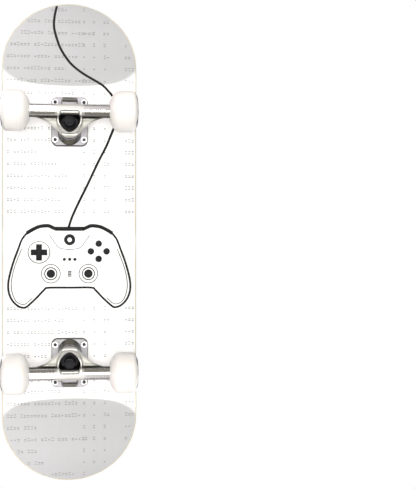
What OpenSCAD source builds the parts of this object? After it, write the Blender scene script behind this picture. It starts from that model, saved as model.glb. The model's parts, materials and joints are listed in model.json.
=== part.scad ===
// Complete street skateboard standing on its four wheels.
// Millimetres, +Z up, +X to the nose, origin on the floor below the middle of the deck.

/* [Deck] */
// overall length along X
deck_len = 704; // [690:2:730]
// width between the straight sides
deck_width = 194; // [188:1:204]
// thickness of the wood
deck_thick = 10.5; // [9.5:0.5:12]
// height of the long edges above the flat middle
concave = 7.8; // [4:0.2:9]
// slope of nose and tail at their tips, degrees
kick_angle = 16.5; // [12:0.5:20]
// thickness of the grip sheet
grip_thick = 0.8; // [0.6:0.1:1.2]

/* [Wheels] */
// wheel diameter
wheel_d = 58; // [54:1:59]
// width of the rolling flat
tread_w = 19; // [16:1:20]

/* [Trucks] */
// distance from the middle of the board to each baseplate centre
truck_x = 174.5; // [172:0.5:182]
// thickness of the pad below the deck
riser_thick = 5; // [3:0.5:6]
// thickness of the flat part of the baseplate
plate_thick = 5; // [4.5:0.5:6]

/* [Fits] */
// radial gap between the axle and the parts threaded on it
axle_gap = 0.03; // [0.02:0.01:0.08]
// radial gap between pivot nose and cup
pivot_gap = 0.06; // [0.05:0.01:0.1]

/* [Hidden] */
$fn = 72;
eps = 0.01;
wheel_r = wheel_d / 2;
hub_r = 13.4;
axle_x = 10.5;
axle_drop = 46;
plate_z = wheel_r + axle_drop;
deck_z = plate_z + riser_thick;
half_len = deck_len / 2;
half_w = deck_width / 2;
straight_x = half_len - half_w;
grip_gap = 0.12;
flat_half = 35;
crease_x = 226;
kick_run = 36;
bolt_dx = 27;
bolt_dy = 20.65;
bolt_r = 2.4;
bolt_hole_r = 2.6;
head_r = 4.7;
plate_len = 70;
plate_w = 51.5;
plate_round = 9;
axle_r = 4;
kingpin_r = 4.76;
kingpin_tilt = 17.1;
seat_x = -14;
seat_z = -13.5;
ring_s = 16.75;
pivot_x = 21;
pivot_z = -10.5;
nose_r = 5.5;
cup_r = 7.2;
bushing_r = 13;
cup_wall_r = 15.5;
yoke_r = 17.4;
pocket_r = 15.1;
web_s = 14;
web_t = 5.5;
ring_x = seat_x + ring_s * sin(kingpin_tilt);
ring_z = seat_z - ring_s * cos(kingpin_tilt);
pivot_rise = atan2(pivot_z - ring_z, pivot_x - ring_x);
pivot_len = norm([pivot_x - ring_x, pivot_z - ring_z]);
tube_r = 9.5;
tube_half = 59;
bearing_y = 65;
bearing_w = 7;
spacer_w = 10;
bearing_r = 11;
outer_race_r = 9.8;
inner_race_r = 5.7;
ball_r = 1.95;
ball_pitch = 7.75;
bearing_ys = [bearing_y, bearing_y + bearing_w + spacer_w];
stack_end = bearing_y + 2 * bearing_w + spacer_w;
axle_end = 97;

// ---- deck surface ----

// slope angle of the middle line at distance a from the board's centre
function slope(a) =
  a < crease_x ? 0
  : a < crease_x + kick_run ? (kick_angle - 2.5) * (a - crease_x) / kick_run
  : kick_angle - 2.5 + 2.5 * (a - crease_x - kick_run) / (half_len - crease_x - kick_run);

// rise of the middle line: exact integral of the slope ramp, then of the mean slope
ramp_rise = kick_run * tan((kick_angle - 2.5) / 2);
function rise(a) =
  a < crease_x ? 0
  : a < crease_x + kick_run ? (a - crease_x) * tan(slope(a) / 2)
  : ramp_rise + (a - crease_x - kick_run) * tan((slope(a) + kick_angle - 2.5) / 2);

// share of the full concave left at distance a from the centre
function blend(t) = let (c = min(1, max(0, t))) c * c * (3 - 2 * c);
function concave_share(a) = 1 - blend((a - 130) / 170);

// height of the long edges above the middle line
function lift(a, y) =
  concave * concave_share(a) * pow(max(0, abs(y) - flat_half) / (half_w - flat_half), 1.8);

function under_z(x, y) = deck_z + rise(abs(x)) + lift(abs(x), y);

// half width of the outline set in by m
function outline_w(x, m) =
  let (over = max(0, abs(x) - straight_x), r = half_w - m) sqrt(max(0, r * r - over * over));

// stations along X: evenly spaced on the straight part, by angle round the ends
function stations(m, n_mid, n_end) =
  let (r = half_w - m)
  concat(
    [for (i = [0 : n_end - 1]) -straight_x - r * cos(2 + 88 * i / n_end)],
    [for (i = [0 : n_mid]) -straight_x + 2 * straight_x * i / n_mid],
    [for (i = [1 : n_end]) straight_x + r * sin(88 * i / n_end)]);

// fractions of the half width: flat middle, then closer towards the edge
across = [-1, -0.985, -0.86, -0.72, -0.58, -0.45, -0.36, 0.36, 0.45, 0.58, 0.72, 0.86, 0.985, 1];

// closed skin between two heights over the outline; the corner columns are rounded by edge
module curved_sheet(m, z_low, z_high, edge, n_mid, n_end) {
  xs = stations(m, n_mid, n_end);
  n = len(xs);
  k = len(across);
  low = [for (x = xs) for (t = across)
    let (w = outline_w(x, m), y = w * t)
    [x, y, under_z(x, y) + z_low + (abs(t) == 1 ? edge : 0)]];
  high = [for (x = xs) for (t = across)
    let (w = outline_w(x, m), y = w * t)
    [x, y, under_z(x, y) + z_high - (abs(t) == 1 ? edge : 0)]];
  s = n * k;
  low_faces = [for (i = [0 : n - 2]) for (j = [0 : k - 2]) each [
    [i * k + j, (i + 1) * k + j, (i + 1) * k + j + 1],
    [i * k + j, (i + 1) * k + j + 1, i * k + j + 1]]];
  high_faces = [for (i = [0 : n - 2]) for (j = [0 : k - 2]) each [
    [s + i * k + j, s + (i + 1) * k + j + 1, s + (i + 1) * k + j],
    [s + i * k + j, s + i * k + j + 1, s + (i + 1) * k + j + 1]]];
  left_faces = [for (i = [0 : n - 2]) each [
    [i * k, s + i * k, s + (i + 1) * k],
    [i * k, s + (i + 1) * k, (i + 1) * k]]];
  right_faces = [for (i = [0 : n - 2]) let (j = k - 1) each [
    [i * k + j, (i + 1) * k + j, s + (i + 1) * k + j],
    [i * k + j, s + (i + 1) * k + j, s + i * k + j]]];
  tail_faces = [for (j = [0 : k - 2]) each [
    [j, j + 1, s + j + 1],
    [j, s + j + 1, s + j]]];
  nose_faces = [for (j = [0 : k - 2]) let (b = (n - 1) * k) each [
    [b + j, s + b + j, s + b + j + 1],
    [b + j, s + b + j + 1, b + j + 1]]];
  polyhedron(
    points = concat(low, high),
    faces = concat(low_faces, high_faces, left_faces, right_faces, tail_faces, nose_faces),
    convexity = 6);
}

// ---- placing ----

// puts children over each of the eight mounting holes
module at_bolts() {
  for (sx = [-1, 1])
    for (bx = [-bolt_dx, bolt_dx])
      for (by = [-bolt_dy, bolt_dy])
        translate([sx * truck_x + bx, by, 0])
          children();
}

// truck frame: origin at the baseplate centre on its upper face, +X outboard
module truck(turn) {
  rotate([0, 0, turn])
    translate([truck_x, 0, plate_z])
      children();
}

// kingpin frame: +Z down along the kingpin from the bushing seat, +X inboard
module on_kingpin(s = 0) {
  translate([seat_x, 0, seat_z])
    rotate([0, 180 - kingpin_tilt, 0])
      translate([0, 0, s])
        children();
}

// steering frame: +Z from the yoke ring up to the pivot nose
module on_pivot(t = 0) {
  translate([ring_x, 0, ring_z])
    rotate([0, 90 - pivot_rise, 0])
      translate([0, 0, t])
        children();
}

// axle frame: +Z along the axle to the side given by turn (0 for +Y, 180 for -Y)
module on_axle(turn = 0) {
  translate([axle_x, 0, -axle_drop])
    rotate([-90 + turn, 0, 0])
      children();
}

module ring(r_out, r_in, h) {
  difference() {
    cylinder(r = r_out, h = h);
    translate([0, 0, -1])
      cylinder(r = r_in, h = h + 2);
  }
}

// six-sided nut with a thread hole and a turned seat
module hex_nut(flats, hole_r, h) {
  difference() {
    union() {
      translate([0, 0, 0.8])
        cylinder(r = flats / 2 / cos(30), h = h - 0.8, $fn = 6);
      cylinder(r = flats / 2 - 0.1, h = 0.8);
    }
    translate([0, 0, -1])
      cylinder(r = hole_r, h = h + 2);
  }
}

module rounded_plate(length, width, r, h) {
  linear_extrude(h)
    union() {
      square([length - 2 * r, width], center = true);
      square([length, width - 2 * r], center = true);
      for (sx = [-1, 1])
        for (sy = [-1, 1])
          translate([sx * (length / 2 - r), sy * (width / 2 - r)])
            circle(r = r);
    }
}

module plate_holes(r) {
  for (bx = [-bolt_dx, bolt_dx])
    for (by = [-bolt_dy, bolt_dy])
      translate([bx, by, -50])
        cylinder(r = r, h = 100);
}

// ---- deck group ----

module deck() {
  color("burlywood")
    difference() {
      curved_sheet(0, 0, deck_thick, 1.5, 34, 12);
      at_bolts() {
        translate([0, 0, deck_z - 5])
          cylinder(r = bolt_hole_r, h = 40);
        translate([0, 0, deck_z + deck_thick - 2.6])
          cylinder(r1 = bolt_hole_r - 0.2, r2 = head_r + 0.2, h = 2.6 + eps);
      }
    }
}

module grip_tape() {
  color("dimgray")
    difference() {
      curved_sheet(1.6, deck_thick + grip_gap, deck_thick + grip_thick, 0, 34, 12);
      at_bolts()
        translate([0, 0, deck_z])
          cylinder(r = head_r + 0.3, h = 40);
    }
}

module mounting_bolts() {
  top = deck_z + deck_thick + 0.2;
  tip = plate_z - plate_thick - 7;
  color("black")
    at_bolts()
      difference() {
        union() {
          translate([0, 0, tip])
            cylinder(r = bolt_r, h = top - tip - 1);
          translate([0, 0, top - 2.4])
            cylinder(r1 = bolt_r, r2 = head_r, h = 2.2);
          translate([0, 0, top - 0.2 - eps])
            cylinder(r = head_r, h = 0.2 + eps);
        }
        translate([0, 0, top - 1.5])
          cylinder(r = 1.8, h = 3, $fn = 6);
      }
}

module mounting_nuts() {
  color("silver")
    at_bolts()
      translate([0, 0, plate_z - plate_thick])
        mirror([0, 0, 1])
          hex_nut(8.4, bolt_r + 0.02, 5);
}

module riser_pad(turn) {
  color("black")
    truck(turn)
      difference() {
        rounded_plate(plate_len + 1, plate_w + 1, plate_round, riser_thick);
        plate_holes(bolt_hole_r);
      }
}

// ---- truck group ----

// side shape of the pivot boss and of the spine between the bosses
module pivot_boss_shape() {
  polygon([[-17, 0.5 - plate_thick], [-8, -7.2], [8, -7], [11.5, -6.4], [20.2, -22],
    [25.6, -21.4], [28.6, -19], [30.6, -14.4], [34.4, -6.6], [35, -plate_thick], [35, -1], [-17, -1]]);
}

module baseplate(turn) {
  color("silver")
    truck(turn)
      difference() {
        union() {
          translate([0, 0, -plate_thick])
            rounded_plate(plate_len, plate_w, plate_round, plate_thick);
          intersection() {
            rotate([90, 0, 0])
              linear_extrude(22, center = true)
                pivot_boss_shape();
            translate([5.5, 0, -40])
              rounded_plate(61, 22, 8, 40);
          }
          intersection() {
            on_kingpin(-16)
              cylinder(r1 = 17, r2 = 14.5, h = 16);
            translate([-45, -30, -40])
              cube([90, 60, 39.5]);
          }
        }
        plate_holes(bolt_hole_r);
        on_kingpin(-30)
          cylinder(r = kingpin_r + 0.1, h = 40);
        on_kingpin(-30)
          cylinder(r = 9, h = 24);
        on_pivot(20)
          cylinder(r = cup_r, h = pivot_len - 20);
        on_pivot(pivot_len)
          sphere(r = cup_r);
      }
}

module pivot_cup(turn) {
  color("white")
    truck(turn)
      difference() {
        union() {
          on_pivot(31)
            cylinder(r = cup_r - 0.02, h = pivot_len - 31);
          on_pivot(pivot_len)
            sphere(r = cup_r - 0.02);
        }
        on_pivot(20)
          cylinder(r = nose_r + pivot_gap, h = pivot_len - 20);
        on_pivot(pivot_len)
          sphere(r = nose_r + pivot_gap);
      }
}

module kingpin(turn) {
  color("black")
    truck(turn) {
      on_kingpin(-11)
        cylinder(r = 14.3 / 2 / cos(30), h = 5, $fn = 6);
      on_kingpin(-6 - eps)
        cylinder(r = kingpin_r, h = 43.2);
    }
}

module kingpin_nut(turn) {
  color("black")
    truck(turn)
      on_kingpin(28.7)
        rotate([0, 0, 30])
          hex_nut(14.3, kingpin_r + 0.02, 8);
}

module lower_washer(turn) {
  color("black")
    truck(turn)
      on_kingpin(0)
        ring(13.5, kingpin_r + 0.15, 1);
}

module lower_bushing(turn) {
  color("black")
    truck(turn)
      on_kingpin(1)
        rotate_extrude()
          polygon([[kingpin_r + 0.2, 0], [11.6, 0], [12.6, 1.2], [bushing_r, 4], [bushing_r, web_s - 1.4],
            [bushing_r - 0.6, web_s - 1], [kingpin_r + 0.2, web_s - 1]]);
}

module upper_bushing(turn) {
  color("black")
    truck(turn)
      on_kingpin(web_s + web_t)
        rotate_extrude()
          polygon([[kingpin_r + 0.2, 0], [12, 0], [12.3, 0.8], [11.6, 3.2], [10.4, 8], [kingpin_r + 0.2, 8]]);
}

module upper_washer(turn) {
  color("dimgray")
    truck(turn)
      on_kingpin(27.5)
        ring(12, kingpin_r + 0.15, 1.2);
}

// plan outline of the yoke and its wings, seen along Z
wing_start = 14;
wing_root = ring_x - sqrt(yoke_r * yoke_r - wing_start * wing_start);
wing_tip = axle_x - tube_r + 0.6;
function wing_x(y) =
  abs(y) < wing_start ? ring_x - sqrt(yoke_r * yoke_r - y * y)
  : wing_tip - (wing_tip - wing_root) * pow(1 - min(1, (abs(y) - wing_start) / 40), 2);

module plan_shape() {
  ys = [for (i = [-24 : 24]) 56 * i / 24];
  polygon(concat([for (y = ys) [wing_x(y), y]], [[20, 56], [20, -56]]));
}

// side outline of the collar round the nut, seen along Y
module collar_shape() {
  polygon([[-8, -55.3], [-12, -54.4], [-17, -51.4], [-20.8, -46.2], [-23.3, -40],
    [-28, -33.4], [-29.6, -32.2], [-8, -25.8], [2, -30], [9, -40], [9, -55.2]]);
}

// side outline of the wings between yoke and tube, seen along Y
module wing_shape() {
  polygon([[12, -46], [4, -47.4], [-2, -47], [-12, -44.4], [-22, -41.4], [-28.6, -39],
    [-29.6, -33.2], [-29.2, -32.4], [-8, -26.2], [0, -26.2], [6, -29], [11, -34], [14, -37.4], [17.5, -41],
    [19, -46]]);
}

// front outline of the yoke body, seen along X: tall at the yoke, tube height at its ends
function brow_z(y) =
  let (t = min(1, max(0, (abs(y) - 16) / 34))) -37.6 + 14 * pow(1 - t, 2.2);

module front_shape() {
  ys = [for (i = [-20 : 20]) 56 * i / 20];
  polygon(concat([for (y = ys) [y, brow_z(y)]], [[56, -56], [-56, -56]]));
}

module hanger_body() {
  intersection() {
    rotate([90, 0, 0])
      linear_extrude(50, center = true)
        collar_shape();
    on_kingpin(web_s - 0.7)
      cylinder(r = yoke_r, h = 40);
  }
  intersection() {
    rotate([90, 0, 0])
      linear_extrude(112, center = true)
        wing_shape();
    translate([0, 0, -70])
      linear_extrude(60)
        plan_shape();
    rotate([90, 0, 90])
      linear_extrude(120, center = true)
        front_shape();
  }
}

// bore along the kingpin from s, cut flat at distance reach on its outboard side
module flat_sided_bore(s, r, reach, h) {
  on_kingpin(s)
    intersection() {
      cylinder(r = r, h = h);
      translate([-reach, -20, 0])
        cube([40, 40, h]);
    }
}

// rib that carries the pivot nose from the tube
module nose_rib() {
  rotate([90, 0, 0])
    linear_extrude(15, center = true)
      polygon([[19.3, -44], [18.2, -36], [15.6, -26], [12.4, -19.5], [6, -20], [-4, -26], [4, -40]]);
}

module hanger(turn) {
  color("silver")
    truck(turn)
      difference() {
        union() {
          translate([axle_x, 0, -axle_drop])
            rotate([90, 0, 0])
              cylinder(r = tube_r, h = 2 * tube_half, center = true);
          for (side = [0, 180])
            on_axle(side) {
              translate([0, 0, tube_half - eps])
                cylinder(r1 = tube_r, r2 = 7.6, h = 2.4);
              translate([0, 0, tube_half + 2])
                cylinder(r = 6.6, h = 3);
            }
          hanger_body();
          on_kingpin(7.5)
            cylinder(r = cup_wall_r, h = 8);
          nose_rib();
          on_pivot(12)
            cylinder(r = 10, h = 8.5);
          on_pivot(20.5 - eps)
            cylinder(r1 = 10, r2 = nose_r, h = 7.5);
          on_pivot(27)
            cylinder(r = nose_r, h = pivot_len - 27);
          on_pivot(pivot_len)
            sphere(r = nose_r);
        }
        // axle bore
        translate([axle_x, 0, -axle_drop])
          rotate([90, 0, 0])
            cylinder(r = axle_r + axle_gap, h = 140, center = true);
        // seat of the lower bushing, open towards the baseplate
        on_kingpin(-12)
          cylinder(r = bushing_r + 0.2, h = 12 + web_s);
        // kingpin hole in the web
        on_kingpin(0)
          cylinder(r = 7, h = 30);
        // nut pocket: full width over the washer, flattened beside the axle, stepped out at the mouth
        flat_sided_bore(web_s + web_t, pocket_r, 14.4, 12);
        flat_sided_bore(30, pocket_r, 8.9, 30);
        flat_sided_bore(43.6, pocket_r + 1.2, 11.2, 20);
        // slit through the inboard side of the collar
        on_kingpin(24)
          translate([10, -11, 0])
            cube([20, 22, 4]);
      }
}

module axle(turn) {
  color("dimgray")
    truck(turn)
      translate([axle_x, 0, -axle_drop])
        rotate([90, 0, 0])
          cylinder(r = axle_r, h = 2 * axle_end, center = true);
}

module axle_nuts(turn) {
  color("dimgray")
    truck(turn)
      for (side = [0, 180])
        on_axle(side)
          translate([0, 0, stack_end + 0.8])
            hex_nut(13, axle_r + axle_gap, 6.2);
}

module speed_washers(turn) {
  color("silver")
    truck(turn)
      for (side = [0, 180])
        on_axle(side) {
          translate([0, 0, bearing_y - 1])
            ring(5.9, axle_r + axle_gap, 1);
          translate([0, 0, stack_end])
            ring(5.9, axle_r + axle_gap, 0.8);
        }
}

// ---- wheel group ----

// half section of the tyre: radius across, distance along the axle up
function lip_points() =
  [for (i = [0 : 9]) let (a = 10 * i)
    [hub_r + (wheel_r - hub_r) * pow(cos(a), 1.25), 68.5 + tread_w + (27.5 - tread_w) * pow(sin(a), 1.25)]];

module wheel(turn, side) {
  color("white")
    truck(turn)
      on_axle(side)
        rotate_extrude($fn = 144)
          polygon(concat(
            [[bearing_r, bearing_y], [12, bearing_y - 1.5], [12.4, 56.6], [hub_r, 56], [16, 57],
              [wheel_r - 8, 59.6], [wheel_r - 4, 62.3], [wheel_r - 1.6, 65], [wheel_r, 68.3]],
            lip_points(),
            [[12.4, 95.4], [12, stack_end + 0.6], [bearing_r, stack_end],
              [bearing_r, bearing_ys[1]], [9.6, bearing_ys[1]],
              [9.6, bearing_y + bearing_w], [bearing_r, bearing_y + bearing_w]]));
}

module outer_rings(turn, side) {
  color("slategray")
    truck(turn)
      on_axle(side)
        for (y = bearing_ys)
          translate([0, 0, y])
            ring(bearing_r - 0.01, outer_race_r, bearing_w);
}

module inner_rings(turn, side) {
  color("slategray")
    truck(turn)
      on_axle(side)
        for (y = bearing_ys)
          translate([0, 0, y])
            ring(inner_race_r, axle_r + axle_gap, bearing_w);
}

module balls(turn, side) {
  color("lightgray")
    truck(turn)
      on_axle(side)
        for (y = bearing_ys)
          for (i = [0 : 6])
            rotate([0, 0, 360 * i / 7])
              translate([ball_pitch, 0, y + bearing_w / 2])
                sphere(r = ball_r);
}

module shields(turn, side) {
  color("darkslategray")
    truck(turn)
      on_axle(side)
        for (y = bearing_ys)
          for (z = [0.25, bearing_w - 0.65])
            translate([0, 0, y + z])
              ring(outer_race_r - 0.01, inner_race_r + 0.3, 0.4);
}

module spacer(turn, side) {
  color("silver")
    truck(turn)
      on_axle(side)
        translate([0, 0, bearing_y + bearing_w])
          ring(5.5, axle_r + axle_gap, spacer_w);
}

deck();
grip_tape();
mounting_bolts();
mounting_nuts();
riser_pad(0);  // front_riser_pad
riser_pad(180);  // rear_riser_pad
baseplate(0);  // front_baseplate
pivot_cup(0);  // front_pivot_cup
kingpin(0);  // front_kingpin
kingpin_nut(0);  // front_kingpin_nut
lower_washer(0);  // front_lower_washer
lower_bushing(0);  // front_lower_bushing
upper_bushing(0);  // front_upper_bushing
upper_washer(0);  // front_upper_washer
hanger(0);  // front_hanger
axle(0);  // front_axle
axle_nuts(0);  // front_axle_nuts
speed_washers(0);  // front_speed_washers
baseplate(180);  // rear_baseplate
pivot_cup(180);  // rear_pivot_cup
kingpin(180);  // rear_kingpin
kingpin_nut(180);  // rear_kingpin_nut
lower_washer(180);  // rear_lower_washer
lower_bushing(180);  // rear_lower_bushing
upper_bushing(180);  // rear_upper_bushing
upper_washer(180);  // rear_upper_washer
hanger(180);  // rear_hanger
axle(180);  // rear_axle
axle_nuts(180);  // rear_axle_nuts
speed_washers(180);  // rear_speed_washers
wheel(0, 0);  // front_left_wheel
outer_rings(0, 0);  // front_left_outer_rings
inner_rings(0, 0);  // front_left_inner_rings
balls(0, 0);  // front_left_balls
shields(0, 0);  // front_left_shields
spacer(0, 0);  // front_left_spacer
wheel(0, 180);  // front_right_wheel
outer_rings(0, 180);  // front_right_outer_rings
inner_rings(0, 180);  // front_right_inner_rings
balls(0, 180);  // front_right_balls
shields(0, 180);  // front_right_shields
spacer(0, 180);  // front_right_spacer
wheel(180, 180);  // rear_left_wheel
outer_rings(180, 180);  // rear_left_outer_rings
inner_rings(180, 180);  // rear_left_inner_rings
balls(180, 180);  // rear_left_balls
shields(180, 180);  // rear_left_shields
spacer(180, 180);  // rear_left_spacer
wheel(180, 0);  // rear_right_wheel
outer_rings(180, 0);  // rear_right_outer_rings
inner_rings(180, 0);  // rear_right_inner_rings
balls(180, 0);  // rear_right_balls
shields(180, 0);  // rear_right_shields
spacer(180, 0);  // rear_right_spacer
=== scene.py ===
"""Looks of a street skateboard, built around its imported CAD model.

Lengths in this file are millimetres in the CAD frame: +X to the nose, +Z up, origin on the floor below
the middle of the deck. Meshes are scaled to metres when they are made.
"""
import json
import math
import random

import bmesh
import bpy
from mathutils import Matrix, Vector


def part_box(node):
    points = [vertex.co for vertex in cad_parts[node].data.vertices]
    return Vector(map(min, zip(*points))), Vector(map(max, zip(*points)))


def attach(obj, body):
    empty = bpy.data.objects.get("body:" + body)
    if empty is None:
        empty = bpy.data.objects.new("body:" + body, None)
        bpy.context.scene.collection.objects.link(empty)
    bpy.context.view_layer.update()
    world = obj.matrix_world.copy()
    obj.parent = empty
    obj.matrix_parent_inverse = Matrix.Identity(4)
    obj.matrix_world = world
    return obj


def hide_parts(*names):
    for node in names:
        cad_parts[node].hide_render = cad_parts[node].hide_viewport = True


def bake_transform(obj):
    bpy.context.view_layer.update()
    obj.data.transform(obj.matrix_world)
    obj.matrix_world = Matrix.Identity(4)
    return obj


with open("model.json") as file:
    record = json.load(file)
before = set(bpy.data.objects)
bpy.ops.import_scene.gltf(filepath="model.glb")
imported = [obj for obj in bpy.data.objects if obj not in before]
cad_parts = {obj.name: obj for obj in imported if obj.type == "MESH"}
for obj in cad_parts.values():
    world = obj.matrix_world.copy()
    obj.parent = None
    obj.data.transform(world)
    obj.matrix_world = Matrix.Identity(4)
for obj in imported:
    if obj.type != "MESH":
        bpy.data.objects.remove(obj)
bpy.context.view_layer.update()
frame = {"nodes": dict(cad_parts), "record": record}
MM = 0.001

# ---- driving sizes ----

DECK_LOW, DECK_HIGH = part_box("deck")
HALF_LEN = DECK_HIGH.x / MM
HALF_W = DECK_HIGH.y / MM
DECK_Z = DECK_LOW.z / MM
DECK_T = 10.5
GRIP_T = 0.8
GRIP_INSET = 1.6
STRAIGHT = 255.0
FLAT_HALF = 35.0
CREASE = 226.0
KICK_RUN = 36.0
KICK_ANGLE = 16.5
TIP_GAIN = 2.5
TIP_X = 352.0
CONCAVE = 7.8
CONCAVE_POWER = 1.8
CONCAVE_FROM = 130
CONCAVE_FADE = 170
RAIL_R = 2.0
BOLT_HEAD_R = 5.0
HEAD_SINK = 3.0

TRUCK_X = 174.5
BOLT_DX = 27.0
BOLT_DY = 20.65
PLATE_Z = 75.0
TILT_X = math.sin(math.radians(17.1))
TILT_Z = math.cos(math.radians(17.1))
SEAT_X = TRUCK_X - 14.0
SEAT_Z = PLATE_Z - 13.5
POCKET_R = 15.3
TUBE_R = 9.62
CAST_VOXEL = 0.7

WHEEL_LOW, WHEEL_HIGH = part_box("front_left_wheel")
WHEEL_R = (WHEEL_HIGH.z - WHEEL_LOW.z) / MM / 2
WHEEL_X = (WHEEL_LOW.x + WHEEL_HIGH.x) / MM / 2
AXLE_Z = (WHEEL_LOW.z + WHEEL_HIGH.z) / MM / 2
WHEEL_FACE = 96.0
HUB_R = 13.4
LIP_RISE = 8.5
LIP_POWER = 1.95
BEARING_W = 7.0
BEARING_SEATS = (65.0, 82.0)
BADGE_CORNER = 24.6
BADGE_SIDE = 17.3
INK_LIFT = 0.05
INK_FILM = 0.06
# where the painted shade on the kicks starts
KICK_SHADE_BORDER = 226.0
PRINT_UNIT = 0.988


# ---- mesh helpers ----

def make_object(name, vertices, faces, materials):
    """A smooth-shaded mesh object from points in millimetres."""
    mesh = bpy.data.meshes.new(name)
    mesh.from_pydata([(x * MM, y * MM, z * MM) for x, y, z in vertices], [], faces)
    for material in materials:
        mesh.materials.append(material)
    for polygon in mesh.polygons:
        polygon.use_smooth = True
    mesh.update()
    obj = bpy.data.objects.new(name, mesh)
    bpy.context.scene.collection.objects.link(obj)
    return obj


def weld(obj, closed=True):
    """Joins points that lie together and turns the faces of a closed mesh outwards."""
    work = bmesh.new()
    work.from_mesh(obj.data)
    bmesh.ops.remove_doubles(work, verts=work.verts, dist=2e-6)
    bmesh.ops.dissolve_degenerate(work, edges=work.edges, dist=1e-7)
    if closed:
        bmesh.ops.recalc_face_normals(work, faces=work.faces)
    work.to_mesh(obj.data)
    work.free()


def bake_modifiers(obj):
    """Keeps what the modifiers make as the object's own mesh."""
    bpy.context.view_layer.update()
    evaluated = obj.evaluated_get(bpy.context.evaluated_depsgraph_get())
    mesh = bpy.data.meshes.new_from_object(evaluated)
    obj.modifiers.clear()
    obj.data = mesh


def fillet(points, radii, steps=6):
    """The closed outline with each corner rounded by its own radius."""
    rounded = []
    for i, (corner, radius) in enumerate(zip(points, radii)):
        c = Vector(corner)
        if radius <= 0:
            rounded.append(tuple(c))
            continue
        back = (Vector(points[i - 1]) - c).normalized()
        ahead = (Vector(points[(i + 1) % len(points)]) - c).normalized()
        half = math.acos(max(-1.0, min(1.0, back.dot(ahead)))) / 2
        reach = radius / math.tan(half)
        centre = c + (back + ahead).normalized() * (radius / math.sin(half))
        first = c + back * reach - centre
        last = c + ahead * reach - centre
        turn = math.atan2(first.x * last.y - first.y * last.x, first.dot(last))
        for k in range(steps + 1):
            angle = turn * k / steps
            rounded.append((centre.x + first.x * math.cos(angle) - first.y * math.sin(angle),
                            centre.y + first.x * math.sin(angle) + first.y * math.cos(angle)))
    return rounded


def circle(centre, radius, n):
    """Points evenly spaced round a circle."""
    angles = [math.tau * k / n for k in range(n)]
    return [(centre[0] + radius * math.cos(a), centre[1] + radius * math.sin(a)) for a in angles]


def lathe(name, profile, place, material, segments, sharp=35):
    """A closed solid of revolution: profile lists (radius, distance along the axis), place gives points."""
    vertices = []
    for u, v in circle((0, 0), 1, segments):
        vertices += [place(r * u, r * v, d) for r, d in profile]
    n = len(profile)
    faces = []
    for k in range(segments):
        ahead = (k + 1) % segments
        for i in range(n):
            j = (i + 1) % n
            faces.append((k * n + i, k * n + j, ahead * n + j, ahead * n + i))
    obj = make_object(name, vertices, faces, [material])
    weld(obj)
    obj.data.set_sharp_from_angle(angle=math.radians(sharp))
    return obj


# ---- material helpers ----

def as_colour(value):
    """A socket as it is, or three numbers as an opaque colour."""
    return value if isinstance(value, bpy.types.NodeSocket) else (*value, 1.0)


def fill_ramp(node, stops):
    """Sets a colour ramp's stops: each is (place, colour)."""
    elements = node.color_ramp.elements
    while len(elements) < len(stops):
        elements.new(0.5)
    for element, (place, colour) in zip(elements, stops):
        element.position = place
        element.color = (*colour, 1.0)


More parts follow.
